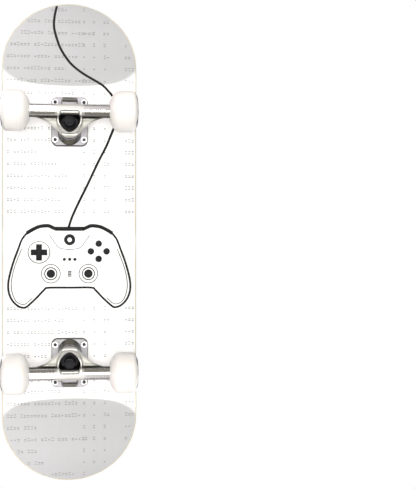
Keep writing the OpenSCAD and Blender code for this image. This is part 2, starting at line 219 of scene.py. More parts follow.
class Look:
    """A material with short ways to add the nodes that its finish needs."""

    def __init__(self, name, roughness=0.5, metallic=0.0):
        self.material = bpy.data.materials.new(name)
        self.material.use_nodes = True
        self.nodes = self.material.node_tree.nodes
        self.links = self.material.node_tree.links
        self.shader = self.nodes["Principled BSDF"]
        self.shader.inputs["Roughness"].default_value = roughness
        self.shader.inputs["Metallic"].default_value = metallic
        self.where = self.nodes.new("ShaderNodeTexCoord").outputs["Object"]

    def put(self, socket, value):
        """Links a node's output to a socket, or sets the socket's own value."""
        if isinstance(value, bpy.types.NodeSocket):
            self.links.new(value, socket)
        else:
            socket.default_value = value

    def stretched(self, x, y, z):
        """Object coordinates scaled by axis."""
        node = self.nodes.new("ShaderNodeMapping")
        self.put(node.inputs["Vector"], self.where)
        node.inputs["Scale"].default_value = (x, y, z)
        return node.outputs["Vector"]

    def noise(self, scale, detail=3.0, roughness=0.55, where=None, distortion=0.0):
        node = self.nodes.new("ShaderNodeTexNoise")
        self.put(node.inputs["Vector"], where or self.where)
        node.inputs["Scale"].default_value = scale
        node.inputs["Detail"].default_value = detail
        node.inputs["Roughness"].default_value = roughness
        node.inputs["Distortion"].default_value = distortion
        return node.outputs["Fac"]

    def cells(self, scale):
        node = self.nodes.new("ShaderNodeTexVoronoi")
        self.put(node.inputs["Vector"], self.where)
        node.inputs["Scale"].default_value = scale
        return node.outputs["Distance"]

    def ramp(self, value, *stops):
        """Colours along a value: each stop is (place, colour)."""
        node = self.nodes.new("ShaderNodeValToRGB")
        self.put(node.inputs["Fac"], value)
        fill_ramp(node, stops)
        return node.outputs["Color"]

    def spread(self, value, low, high, start=0.0, end=1.0):
        """A value moved from low..high to start..end, smoothly and clamped."""
        node = self.nodes.new("ShaderNodeMapRange")
        node.interpolation_type = "SMOOTHSTEP"
        for socket, number in zip(("Value", "From Min", "From Max", "To Min", "To Max"),
                                  (value, low, high, start, end)):
            self.put(node.inputs[socket], number)
        return node.outputs["Result"]

    def fade(self, value, low, high, start=0.0, end=1.0):
        """Like spread, for a value in metres between two places in millimetres."""
        return self.spread(value, low * MM, high * MM, start, end)

    def maths(self, operation, *values):
        node = self.nodes.new("ShaderNodeMath")
        node.operation = operation
        for socket, value in zip(node.inputs, values):
            self.put(socket, value)
        return node.outputs["Value"]

    def times(self, a, b):
        return self.maths("MULTIPLY", a, b)

    def plus(self, a, b):
        return self.maths("ADD", a, b)

    def minus(self, a, b):
        return self.maths("SUBTRACT", a, b)

    def length(self, a, b):
        return self.maths("SQRT", self.plus(self.times(a, a), self.times(b, b)))

    def mix(self, share, first, second):
        """From the first colour to the second: each is three numbers or a socket."""
        node = self.nodes.new("ShaderNodeMix")
        node.data_type = "RGBA"
        factor, a, b = node.inputs[0], node.inputs[6], node.inputs[7]
        self.put(factor, share)
        self.put(a, as_colour(first))
        self.put(b, as_colour(second))
        return node.outputs[2]

    def part(self, vector, letter):
        node = self.nodes.new("ShaderNodeSeparateXYZ")
        self.put(node.inputs[0], vector)
        return node.outputs[letter]

    def axis(self, letter):
        """One object coordinate, in metres."""
        return self.part(self.where, letter)

    def direction(self, letter):
        """One part of the direction that the surface faces."""
        return self.part(self.nodes.new("ShaderNodeNewGeometry").outputs["Normal"], letter)

    def attribute(self, name):
        node = self.nodes.new("ShaderNodeAttribute")
        node.attribute_name = name
        return node.outputs["Fac"]

    def colour(self, value):
        self.put(self.shader.inputs["Base Color"], value)

    def roughness(self, value):
        self.put(self.shader.inputs["Roughness"], value)

    def bump(self, height, millimetres, strength):
        node = self.nodes.new("ShaderNodeBump")
        node.inputs["Distance"].default_value = millimetres * MM
        node.inputs["Strength"].default_value = strength
        self.put(node.inputs["Height"], height)
        self.put(self.shader.inputs["Normal"], node.outputs["Normal"])

    def coat(self, weight, roughness):
        self.shader.inputs["Coat Weight"].default_value = weight
        self.shader.inputs["Coat Roughness"].default_value = roughness


def kick_shade_share(look):
    """Share of the painted shade on nose and tail: a grey field, crisp in the middle, soft at the sides."""
    along = look.maths("ABSOLUTE", look.axis("X"))
    side = look.times(look.axis("Y"), 1 / (HALF_W * MM))
    side = look.times(side, side)
    steep = look.times(side, side)
    bend = look.maths("MULTIPLY_ADD", look.times(steep, side), 15 * MM, KICK_SHADE_BORDER * MM)
    bend = look.maths("MULTIPLY_ADD", steep, -7 * MM, bend)
    start = look.maths("MULTIPLY_ADD", side, 8 * MM, bend)
    width = look.maths("MULTIPLY_ADD", steep, 14 * MM, 1.5 * MM)
    share = look.maths("DIVIDE", look.minus(along, start), width)
    return look.spread(share, 0.0, 1.0)


# ---- materials ----

def deck_print():
    """White lacquered print over maple, with painted shade on each kick: a pale grey field."""
    look = Look("deck_print", roughness=0.32)
    veneer = look.noise(9.0, 4.0, where=look.stretched(2.0, 26.0, 4.0), distortion=0.6)
    white = look.ramp(veneer, (0.3, (0.925, 0.925, 0.92)), (0.7, (0.935, 0.935, 0.93)))
    # painted shade: the grey field on the kicks, a little darker towards the tips
    tip = look.fade(look.maths("ABSOLUTE", look.axis("X")), 300, TIP_X)
    grey = look.mix(tip, look.ramp(veneer, (0.3, (0.450, 0.458, 0.464)), (0.7, (0.462, 0.470, 0.476))),
                    (0.415, 0.422, 0.428))
    look.colour(look.mix(kick_shade_share(look), white, grey))
    look.roughness(look.spread(look.noise(60.0, 3.0), 0.3, 0.7, 0.31, 0.36))
    look.bump(look.noise(700.0, 2.0), 0.02, 0.2)
    look.coat(0.25, 0.15)
    return look.material


def faint_ink():
    """Pale ink of the typed rows, a little darker where shade is painted on the kicks."""
    look = Look("faint_ink", roughness=0.45)
    patchy = look.noise(900.0, 3.0)
    on_white = look.ramp(patchy, (0.3, (0.20, 0.197, 0.20)), (0.7, (0.27, 0.266, 0.27)))
    # darker ink inside the painted shade on the kicks
    on_grey = look.ramp(patchy, (0.3, (0.24, 0.24, 0.24)), (0.7, (0.29, 0.29, 0.29)))
    look.colour(look.mix(kick_shade_share(look), on_white, on_grey))
    look.bump(patchy, 0.02, 0.4)
    return look.material


def ink(name, dark, light, roughness, specular=0.5):
    """Screen-printed ink with a slightly uneven film."""
    look = Look(name, roughness=roughness)
    look.shader.inputs["Specular IOR Level"].default_value = specular
    patchy = look.noise(500.0, 4.0)
    look.colour(look.ramp(patchy, (0.3, dark), (0.7, light)))
    look.roughness(look.spread(patchy, 0.3, 0.7, roughness - 0.06, roughness + 0.08))
    look.bump(patchy, 0.02, 0.4)
    return look.material


def maple_edge():
    """Seven plies seen on their edges, greenish at the print: long streaks, dark plies, thin glue lines."""
    look = Look("maple_edge", roughness=0.5)
    ply = look.attribute("ply")
    layers = look.ramp(ply, (0.0, (0.54, 0.60, 0.54)), (0.15, (0.57, 0.60, 0.51)),
                       (0.22, (0.76, 0.53, 0.24)), (0.30, (0.66, 0.40, 0.13)), (0.44, (0.80, 0.56, 0.25)),
                       (0.58, (0.72, 0.47, 0.18)), (0.72, (0.62, 0.37, 0.12)),
                       (0.86, (0.76, 0.53, 0.23)), (1.0, (0.84, 0.68, 0.40)))
    in_ply = look.maths("FRACT", look.times(ply, 7.0))
    glue = look.maths("ABSOLUTE", look.minus(in_ply, 0.5))
    glue = look.spread(glue, 0.44, 0.5)
    streaks = look.noise(6.0, 5.0, 0.65, where=look.stretched(9.0, 9.0, 420.0))
    pores = look.noise(40.0, 3.0, 0.6, where=look.stretched(6.0, 6.0, 60.0))
    wood = look.mix(look.spread(streaks, 0.35, 0.68), layers, (0.86, 0.66, 0.33))
    wood = look.mix(look.spread(pores, 0.56, 0.74, 0.0, 0.45), wood, (0.50, 0.29, 0.10))
    wood = look.mix(look.times(glue, 0.42), wood, (0.36, 0.21, 0.09))
    look.colour(wood)
    look.roughness(look.spread(streaks, 0.3, 0.7, 0.42, 0.6))
    look.bump(look.minus(streaks, glue), 0.12, 0.5)
    look.coat(0.15, 0.3)
    return look.material


def maple_face():
    """Pale top veneer that shows as a thin rim round the grip sheet."""
    look = Look("maple_face", roughness=0.5)
    grain = look.noise(12.0, 5.0, 0.6, where=look.stretched(2.0, 30.0, 2.0), distortion=0.8)
    look.colour(look.ramp(grain, (0.25, (0.74, 0.60, 0.38)), (0.55, (0.86, 0.75, 0.54)),
                          (0.8, (0.91, 0.83, 0.65))))
    look.roughness(look.spread(grain, 0.3, 0.7, 0.42, 0.58))
    look.bump(grain, 0.08, 0.4)
    return look.material


def grip():
    """Black grit sheet: glassy grains of several sizes bedded in dark resin."""
    look = Look("grip", roughness=0.82)
    grains = look.cells(1700.0)
    coarse = look.noise(620.0, 2.0, 0.7)
    mottled = look.noise(210.0, 4.0, 0.7)
    resin = look.ramp(mottled, (0.3, (0.004, 0.003, 0.003)), (0.7, (0.011, 0.009, 0.009)))
    clumps = look.spread(look.noise(330.0, 1.0, 0.4), 0.47, 0.64)
    resin = look.mix(clumps, resin, (0.088, 0.076, 0.078))
    shine = look.spread(coarse, 0.56, 0.68)
    body = look.mix(shine, resin, (0.095, 0.084, 0.087))
    spark = look.spread(look.noise(1500.0, 1.0), 0.66, 0.74)
    look.colour(look.mix(spark, body, (0.30, 0.29, 0.30)))
    look.roughness(look.spread(spark, 0.0, 1.0, 0.86, 0.42))
    look.bump(look.plus(grains, coarse), 0.35, 0.9)
    return look.material


def baseplate_metal():
    """Cast aluminium baseplate, coloured by which way each face looks: grey tumbled flats, painted shade on
    the faces towards the ends and painted pale greenish light on the sides.
    """
    look = Look("baseplate_metal", roughness=0.34, metallic=0.9)
    flat = look.maths("ABSOLUTE", look.direction("Z"))
    flat = look.spread(flat, 0.80, 0.97)
    cloud = look.noise(55.0, 4.0, 0.6)
    # painted light and shade by facing: end faces painted dark, side faces painted pale greenish
    ends = look.ramp(cloud, (0.28, (0.065, 0.063, 0.048)), (0.72, (0.11, 0.107, 0.085)))
    sides = look.ramp(cloud, (0.28, (0.46, 0.49, 0.465)), (0.72, (0.60, 0.63, 0.60)))
    sideways = look.spread(look.maths("ABSOLUTE", look.direction("Y")), 0.55, 0.9)
    flank_shading = look.mix(sideways, ends, sides)
    flats = look.ramp(cloud, (0.28, (0.35, 0.34, 0.37)), (0.72, (0.44, 0.43, 0.46)))
    look.colour(look.mix(flat, flank_shading, flats))
    look.put(look.shader.inputs["Metallic"], look.spread(flat, 0.0, 1.0, 0.9, 0.35))
    pits = look.noise(420.0, 3.0, 0.6)
    pitted = look.spread(pits, 0.3, 0.7, 0.26, 0.40)
    look.roughness(look.plus(pitted, look.times(flat, 0.15)))
    look.bump(pits, 0.05, 0.35)
    return look.material


def hanger_metal():
    """Cast aluminium hanger: satin casting and a polished tube. Painted shade darkens the tube's inboard side
    towards the yoke, the crevices beside the tube, the hanger's inboard end and the nut pocket.
    """
    look = Look("hanger_metal", roughness=0.4, metallic=1.0)
    x, z = look.maths("ABSOLUTE", look.axis("X")), look.axis("Z")
    out = look.minus(x, WHEEL_X * MM)
    from_axle = look.length(out, look.minus(z, AXLE_Z * MM))
    on_tube = look.fade(from_axle, 9.7, 10.4, 1.0, 0.0)
    beside = look.fade(look.maths("ABSOLUTE", look.axis("Y")), 15.0, 24.0)
    polished = look.times(on_tube, beside)
    dx, dz = look.minus(x, SEAT_X * MM), look.minus(z, SEAT_Z * MM)
    inboard = look.minus(look.times(dx, -TILT_Z), look.times(dz, TILT_X))
    down = look.minus(look.times(dx, TILT_X), look.times(dz, TILT_Z))
    from_pin = look.length(inboard, look.axis("Y"))
    # painted shade deep in the nut pocket, on its outboard side
    pocket_shade = look.fade(from_pin, POCKET_R, POCKET_R + 0.6, 1.0, 0.0)
    for edge in (look.fade(down, 18.0, 19.0), look.fade(down, 36.5, 38.5, 1.0, 0.0),
                 look.fade(inboard, -3.0, 5.0, 1.0, 0.0)):
        pocket_shade = look.times(pocket_shade, edge)
    cloud = look.noise(55.0, 4.0, 0.6)
    satin = look.ramp(cloud, (0.28, (0.69, 0.685, 0.64)), (0.72, (0.77, 0.765, 0.72)))
    bright = look.ramp(cloud, (0.28, (0.74, 0.73, 0.715)), (0.72, (0.81, 0.80, 0.785)))
    # painted shade: the polished tube darkens towards its inboard side, facing the yoke
    inboard_tube_shade = look.fade(out, -9.9, -5.0, 0.92, 0.0)
    metal = look.mix(polished, satin, look.mix(inboard_tube_shade, bright, (0.10, 0.10, 0.075)))
    # painted shade in the crevice beside the tube and towards the hanger's inboard end
    crevice_shade = look.times(look.fade(from_axle, 10.0, 17.0, 0.96, 0.0), look.fade(out, -8.6, -6.5, 1.0, 0.0))
    inboard_end_shade = look.fade(out, -38.5, -35.0, 0.9, 0.0)
    metal = look.mix(look.maths("MAXIMUM", crevice_shade, inboard_end_shade), metal, (0.035, 0.034, 0.026))
    look.colour(look.mix(pocket_shade, metal, (0.035, 0.034, 0.03)))
    look.put(look.shader.inputs["Metallic"], look.spread(polished, 0.0, 1.0, 0.6, 1.0))
    pits = look.noise(260.0, 3.0, 0.6)
    scuffs = look.noise(90.0, 4.0, 0.7, where=look.stretched(6.0, 1.2, 6.0))
    base = look.spread(polished, 0.0, 1.0, 0.34, 0.24)
    uneven = look.plus(look.spread(pits, 0.3, 0.7, -0.04, 0.05), look.spread(scuffs, 0.5, 0.75, 0.0, 0.06))
    uneven = look.times(uneven, look.spread(polished, 0.0, 1.0, 1.0, 0.15))
    look.roughness(look.plus(base, uneven))
    relief = look.plus(pits, look.times(scuffs, 0.5))
    relief = look.times(relief, look.spread(polished, 0.0, 1.0, 1.0, 0.06))
    look.bump(relief, 0.04, 0.3)
    return look.material


def machined(name, low, high, roughness, metallic=1.0):
    """Turned or plated steel with fine tool marks."""
    look = Look(name, roughness=roughness, metallic=metallic)
    cloud = look.noise(120.0, 3.0)
    look.colour(look.ramp(cloud, (0.3, low), (0.7, high)))
    lines = look.noise(900.0, 2.0, 0.5)
    look.roughness(look.spread(lines, 0.3, 0.7, roughness - 0.06, roughness + 0.08))
    look.bump(lines, 0.03, 0.35)
    return look.material


def moulded(name, low, high, roughness, texture=380.0, depth=0.05):
    """Moulded rubber or plastic with a fine satin texture."""
    look = Look(name, roughness=roughness)
    cloud = look.noise(80.0, 3.0)
    skin = look.noise(texture, 3.0, 0.6)
    look.colour(look.ramp(cloud, (0.3, low), (0.7, high)))
    look.roughness(look.spread(skin, 0.3, 0.7, roughness - 0.07, roughness + 0.09))
    look.bump(skin, depth, 0.5)
    return look.material


def wheel_urethane():
    """Cast white urethane with a soft sheen, faint cloudiness and fine roll marks."""
    look = Look("wheel_urethane", roughness=0.42)
    cloud = look.noise(38.0, 3.0)
    look.colour(look.ramp(cloud, (0.3, (0.87, 0.835, 0.80)), (0.7, (0.92, 0.895, 0.865))))
    rolled = look.noise(500.0, 3.0, 0.6)
    look.roughness(look.spread(rolled, 0.3, 0.7, 0.36, 0.52))
    look.bump(rolled, 0.03, 0.35)
    look.shader.inputs["Subsurface Weight"].default_value = 0.12
    look.shader.inputs["Subsurface Radius"].default_value = (0.004, 0.003, 0.002)
    look.shader.inputs["Subsurface Scale"].default_value = 1.0
    look.coat(0.12, 0.3)
    return look.material


LOOKS = {
    "grip": grip(),
    "black_steel": machined("black_steel", (0.012, 0.012, 0.013), (0.03, 0.03, 0.032), 0.34, 0.85),
    "steel": machined("zinc_steel", (0.36, 0.36, 0.38), (0.47, 0.47, 0.49), 0.34),
    "dark_nut": machined("dark_nut", (0.020, 0.019, 0.022), (0.042, 0.040, 0.046), 0.22, 0.9),
    "riser_rubber": moulded("riser_rubber", (0.010, 0.010, 0.011), (0.024, 0.024, 0.025), 0.55),
    "cast_aluminium": baseplate_metal(),
    "polished_aluminium": hanger_metal(),
    "pivot_plastic": moulded("pivot_plastic", (0.74, 0.74, 0.72), (0.84, 0.84, 0.82), 0.45),
    "bushing_urethane": moulded("bushing_urethane", (0.010, 0.010, 0.010), (0.022, 0.022, 0.023), 0.36,
                                220.0, 0.03),
    "bearing_steel": machined("bearing_steel", (0.44, 0.43, 0.45), (0.60, 0.59, 0.61), 0.22),
    "shield": machined("shield", (0.085, 0.075, 0.10), (0.16, 0.145, 0.18), 0.30, 0.9),
    "wheel_urethane": wheel_urethane(),
}
WHEEL_BLACK = ink("wheel_black", (0.010, 0.009, 0.010), (0.022, 0.020, 0.022), 0.34)
WHITE_INK = ink("white_ink", (0.80, 0.80, 0.80), (0.88, 0.88, 0.88), 0.45)
LINE_INK = ink("line_ink", (0.011, 0.011, 0.012), (0.019, 0.019, 0.021), 0.60, 0.2)


# ---- deck surface ----

def ease(t):
    """0 to 1 with a gentle start and end."""
    c = min(1.0, max(0.0, t))
    return c * c * (3 - 2 * c)


def slope(a):
    """Slope of the middle line in degrees, at distance a from the board's centre."""
    if a < CREASE:
        return 0.0
    if a < CREASE + KICK_RUN:
        return (KICK_ANGLE - TIP_GAIN) * (a - CREASE) / KICK_RUN
    return KICK_ANGLE - TIP_GAIN + TIP_GAIN * (a - CREASE - KICK_RUN) / (TIP_X - CREASE - KICK_RUN)


def rise(a):
    """Height that the kick gains at distance a from the board's centre."""
    if a < CREASE:
        return 0.0
    if a < CREASE + KICK_RUN:
        return (a - CREASE) * math.tan(math.radians(slope(a) / 2))
    ramp = KICK_RUN * math.tan(math.radians((KICK_ANGLE - TIP_GAIN) / 2))
    mean = math.radians((slope(a) + KICK_ANGLE - TIP_GAIN) / 2)
    return ramp + (a - CREASE - KICK_RUN) * math.tan(mean)


def under_z(x, y):
    """Height of the deck's underside."""
    a = abs(x)
    share = 1 - ease((a - CONCAVE_FROM) / CONCAVE_FADE)
    lift = CONCAVE * share * (max(0.0, abs(y) - FLAT_HALF) / (HALF_W - FLAT_HALF)) ** CONCAVE_POWER
    return DECK_Z + rise(a) + lift


def edge_distance(x, y):
    """How far a point in plan is inside the deck's outline."""
    over = max(0.0, abs(x) - STRAIGHT)
    return HALF_W - math.hypot(over, y)


def outline(inset, n_side, n_end):
    """The deck's outline set in: half circles joined by straight sides."""
    across = max(0.0, HALF_W - inset)
    along = max(0.0, HALF_LEN - STRAIGHT - inset)
    loop = []
    for end in (1, -1):
        for k in range(n_end):
            angle = -math.pi / 2 + math.pi * k / n_end
            loop.append((end * (STRAIGHT + along * math.cos(angle)), end * across * math.sin(angle)))
        for k in range(n_side):
            loop.append((end * (STRAIGHT - 2 * STRAIGHT * k / n_side), end * across))
    return loop


def sheet_mesh(name, low, high, inset, radius, materials):
    """A closed skin between two heights over the outline, with rounded edges."""
    n_side, n_end, mesh_step = 96, 56, 5.2
    arc = [math.pi / 2 * k / 5 for k in range(6)]
    flat = max(1, round((HALF_W - inset - radius) / mesh_step))
    inner = [HALF_W - (HALF_W - inset - radius) * k / flat for k in range(flat)]
    rings = [(d, low) for d in inner]
    rings += [(inset + radius * (1 - math.sin(a)), low + radius * (1 - math.cos(a))) for a in arc]
    rings += [(inset + radius * (1 - math.cos(a)), high - radius * (1 - math.sin(a))) for a in arc]
    rings += [(d, high) for d in reversed(inner)]
    vertices = []
    for d, h in rings:
        vertices += [(x, y, under_z(x, y) + h) for x, y in outline(d, n_side, n_end)]
    n = 2 * (n_side + n_end)
    faces = []
    for ring in range(len(rings) - 1):
        for k in range(n):
            j = (k + 1) % n
            faces.append((ring * n + k, ring * n + j, (ring + 1) * n + j, (ring + 1) * n + k))
    obj = make_object(name, vertices, faces, materials)
    weld(obj)
    return obj


def bolt_places():
    """Where the eight truck bolts stand in plan."""
    return [(end * TRUCK_X + bx, by)
            for end in (-1, 1) for bx in (-BOLT_DX, BOLT_DX) for by in (-BOLT_DY, BOLT_DY)]


def cut_bolt_holes(obj, radius):
    """Cuts round pockets for the eight bolt heads, down to the depth that the heads sink."""
    vertices, faces, n = [], [], 40
    deck_top = DECK_Z + DECK_T
    for x, y in bolt_places():
        base = len(vertices)
        for z in (deck_top - HEAD_SINK, deck_top + 6):
            vertices += [(u, v, z) for u, v in circle((x, y), radius, n)]
        faces += [(base + k, base + (k + 1) % n, base + n + (k + 1) % n, base + n + k) for k in range(n)]
        faces += [tuple(range(base, base + n)), tuple(range(base + n, base + 2 * n))]
    cutter = make_object("bolt_cutter", vertices, faces, [])
    weld(cutter)
    holes = obj.modifiers.new("bolt_holes", "BOOLEAN")
    holes.object = cutter
    holes.solver = "EXACT"
    bake_modifiers(obj)
    bpy.data.objects.remove(cutter)


def build_deck():
    """The pressed maple deck, with print below, plies on its edge and bare veneer above."""
    looks = [deck_print(), maple_edge(), maple_face()]
    of_print, of_edge, of_veneer = range(len(looks))
    deck = sheet_mesh("deck_maple", 0.0, DECK_T, 0.0, RAIL_R, looks)
    cut_bolt_holes(deck, BOLT_HEAD_R)
    mesh = deck.data
    ply = mesh.attributes.new("ply", "FLOAT", "POINT")
    for vertex, value in zip(mesh.vertices, ply.data):
        x, y, z = vertex.co / MM
        value.value = min(1.0, max(0.0, (z - under_z(x, y)) / DECK_T))
    for polygon in mesh.polygons:
        x, y, z = polygon.center / MM
        height = z - under_z(x, y)
        inside = edge_distance(x, y) > RAIL_R * 0.75
        polygon.material_index = of_edge if not inside else (of_print if height < 0.2 else of_veneer)
        polygon.use_smooth = True
    mesh.set_sharp_from_angle(angle=math.radians(40))
    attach(deck, "deck")
    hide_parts("deck")


def build_grip():
    """The grit sheet, a little smaller than the deck, with the bolt heads showing through."""
    sheet = sheet_mesh("grip_sheet", DECK_T + 0.02, DECK_T + GRIP_T - 0.01, GRIP_INSET, 0.3, [LOOKS["grip"]])
    cut_bolt_holes(sheet, BOLT_HEAD_R + 0.15)
    for polygon in sheet.data.polygons:
        polygon.use_smooth = True
    sheet.data.set_sharp_from_angle(angle=math.radians(40))
    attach(sheet, "deck")
    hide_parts("grip_tape")


# ---- printed artwork: flat shapes in the deck's plan, laid on a surface ----

class Artwork:
    """Collects flat shapes (x, y) on numbered layers, then lays them on a surface as a thin ink film."""

    def __init__(self, unit=1.0):
        self.unit = unit
        self.vertices = []
        self.faces = []

    def strip(self, left, right, layer, closed=False):
        """Faces between two rows of points."""
        base, n = len(self.vertices), len(left)
        for a, b in zip(left, right):
            self.vertices += [(a[0], a[1], layer), (b[0], b[1], layer)]
        for k in range(n if closed else n - 1):
            j = (k + 1) % n
            self.faces.append((base + 2 * k, base + 2 * k + 1, base + 2 * j + 1, base + 2 * j))

    def line(self, points, width, layer):
        left, right = [], []
        last = len(points) - 1
        for k, (x, y) in enumerate(points):
            before = points[max(k - 1, 0)]
            after = points[min(k + 1, last)]
            along = Vector((after[0] - before[0], after[1] - before[1])).normalized() * (width / 2)
            left.append((x - along.y, y + along.x))
            right.append((x + along.y, y - along.x))
        self.strip(left, right, layer)

    def ring(self, centre, outer, inner, layer=0, n=48):
        self.strip(circle(centre, outer, n), circle(centre, inner, n), layer, True)

    def disc(self, centre, radius, layer):
        steps = max(2, math.ceil(radius / 2.5))
        for k in range(steps):
            inner = radius * k / steps
            self.ring(centre, radius * (k + 1) / steps, max(inner, 0.02), layer, 40)

    def bar(self, x0, x1, y0, y1, layer=0):
        n = max(1, math.ceil((y1 - y0) / 4.0))
        rows = [y0 + (y1 - y0) * k / n for k in range(n + 1)]
        self.strip([(x0, y) for y in rows], [(x1, y) for y in rows], layer)

    def lay(self, name, place, material, body, slot):
        """Makes the ink film: place gives the point and the outward direction for a flat point."""
        vertices = []
        for x, y, layer in self.vertices:
            point, out = place(x * self.unit, y * self.unit)
            lift = INK_LIFT * (1 + 0.5 * layer)
            vertices.append(tuple(Vector(point) + Vector(out) * lift))
        obj = make_object(name, vertices, self.faces, [material])
        weld(obj, closed=False)
        film = obj.modifiers.new("film", "SOLIDIFY")
        film.thickness = INK_FILM * MM
        film.offset = 0.0
        bake_modifiers(obj)
        weld(obj)
        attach(obj, body)


def spline(points, step=4.0):
    """A smooth line through the points, cut about every step."""
    ends = [points[0], *points, points[-1]]
    path = []
    for k in range(1, len(ends) - 2):
        a, b, c, d = (Vector(p) for p in ends[k - 1:k + 3])
        pieces = max(2, math.ceil((c - b).length / step))
        for i in range(pieces):
            t = i / pieces
            p = 0.5 * (2 * b + (c - a) * t + (2 * a - 5 * b + 4 * c - d) * t * t
                       + (3 * b - a - 3 * c + d) * t ** 3)
            path.append((p.x, p.y))
    path.append(tuple(points[-1]))
    return path


def on_underside(x, y):
    """The underside's point over a flat point, and which way is out."""
    return (x, y, under_z(x, y)), (0, 0, -1)


def on_grip(x, y):
    """The grip sheet's point over a flat point, and which way is out."""
    return (x, y, under_z(x, y) + DECK_T + GRIP_T - 0.01), (0, 0, 1)


def mirrored(points):
    """The points on the board's other side."""
    return [(x, -y) for x, y in points]


def draw_plus(art, centre, arm, half, layer=0):
    """A plus with arms of one length and width."""
    x, y = centre
    art.bar(x - arm, x + arm, y - half, y + half, layer)
    for side in (-1, 1):
        near, far = y + side * half, y + side * arm
        art.bar(x - half, x + half, min(near, far), max(near, far), layer)


def draw_cord(art):
    """The printed lead: an S from the nose to a wheel, then on to the top of the drawn gamepad."""
    nose_to_wheel = [(352.3, -18.8), (337, -22), (320.3, -22.9), (306.4, -20.2), (289.7, -14.8),
                     (275.9, -7.5), (263.4, 1.6), (253.8, 12.2), (245.7, 24), (238.3, 37.1), (230.9, 49),
                     (223, 56.8), (214.5, 64), (203, 70.5), (190, 73), (177, 69.5)]
    to_pad = [(165.2, 63.5), (142.7, 54.3), (120.3, 42.9), (98.9, 32.8), (79.9, 23.9), (59.6, 13.8),
              (37.1, 3.6), (22, -1.4)]
    art.line(spline(nose_to_wheel + to_pad), 3.5, layer=1)


def draw_pad(art):
    """A plain two-handed game controller, drawn in line."""
    outer_line = [(14.5, -61.2), (11.7, -63.5), (3.8, -69.4), (-9.9, -74.7), (-29.6, -81.9), (-50.5, -87.7),
                  (-64.9, -89.5), (-76.8, -87.7), (-86.6, -82.6), (-93.8, -74.7), (-96.1, -67.2),
                  (-94.4, -62.2), (-82.6, -49.1), (-70.2, -37.3), (-66.9, -31.5), (-66.9, 0)]
    outer_line = spline(outer_line, 3.0)
    art.line(outer_line + mirrored(outer_line)[::-1][1:], 3.0, layer=1)
    shoulder = [(13.2, 62.6), (18.2, 54.4), (22.5, 45.2), (24.1, 36.0), (23.9, 30.1), (20.9, 23.6),
                (19.8, 20.5)]
    grip_line = [(-9.3, 69.6), (-33.5, 79.2), (-51.8, 83.8), (-67.5, 84.8), (-80.6, 81.4), (-88.5, 75.9),
                 (-91.4, 68.2), (-89.6, 62.8), (-82.6, 55.0)]
    for side in (-1, 1):
        for points, width in ((shoulder, 5.2), (grip_line, 1.1)):
            art.line(spline([(x, side * y) for x, y in points], 3.0), width, layer=1)
        stick = (-46.3, side * 27.4)
        for outer, inner in ((14.2, 13.1), (9.6, 8.1)):
            art.ring(stick, outer, inner, 1)
        art.disc(stick, 6.2, 1)
    art.bar(16.7, 22.7, -21.4, 21.4, 1)
    faceplate = [(10.3, -29.4), (-6.7, -17.4), (-9.7, -12.0), (-10.6, 0), (-9.7, 12.0), (-6.7, 17.4),
                 (10.3, 29.4)]
    art.line(faceplate, 1.1, layer=1)
    art.ring((3.6, 0), 8.3, 3.2, 1)
    cross = (-14.9, -44.6)
    art.ring(cross, 16.5, 15.3, 1)
    draw_plus(art, cross, 12, 4.3, 1)
    for bx, by in ((-2.1, 42.5), (-13.5, 31.0), (-13.5, 54.1), (-24.6, 42.5)):
        art.disc((bx, by), 4.9, 1)
    for k in (-1, 0, 1):
        art.disc((-25.2, k * 7.7), 2.3, 1)
    for k in range(4):
        art.bar(-50.6 + 2.3 * k, -49.0 + 2.3 * k, -2.7, 2.7, 1)


def draw_typed_rows(art):
    """Faint rows of small dashes and dots, set out like typed lines but with no letters."""
    draw = random.Random(7)
    letter, wide = 4.9, 3.0
    rows = [340.4 - 18.0 * k for k in range(8)] + [163.4 - 17.25 * k for k in range(8)]
    rows += [-98.2 - 17.27 * k for k in range(8)] + [-236.0 - 18.0 * k for k in range(7)]
    for x in rows:
        limit = draw.choice((-45.0, -10.0, 8.0))
        words = []
        y = -100.0
        while y < limit:
            length = draw.randint(3, 9)
            words.append((y, length))
            y += (length + 1) * letter
        words += [(19.5, 1), (34.0, 1), (49.5, draw.randint(1, 2)), (80.5, 4)]
        for start, length in words:
            for k in range(length):
                y = start + letter * k
                tall = draw.choice((3.4, 3.4, 4.6))
                corners = [(x + dx, y + dy) for dx in (0, tall) for dy in (0, wide)]
                if min(edge_distance(*c) for c in corners) < 3.5:
                    continue
                if draw.random() < 0.8:
                    art.bar(x, x + 1.0, y, y + wide)
                    art.bar(x + tall - 1.0, x + tall, y, y + wide)
                else:
                    art.bar(x + 0.8, x + 2.6, y + 0.6, y + 2.4)


def build_artwork():
    """All print on the deck: the drawn gamepad and its lead, the typed rows, and the badge on the grip."""
    lines = Artwork(PRINT_UNIT)
    draw_cord(lines)
    draw_pad(lines)
    lines.lay("print_lines", on_underside, LINE_INK, "deck", "maple")
    rows = Artwork()
    draw_typed_rows(rows)
    rows.lay("print_code_rows", on_underside, faint_ink(), "deck", "maple")
    badge = Artwork()
    centre = (-107.0, -59.6)
    badge.ring(centre, 25.7, 22.3, n=72)
    draw_plus(badge, centre, 12, 2.2)
    badge.lay("grip_badge", on_grip, WHITE_INK, "deck", "grip")


# ---- wheels and bearings ----

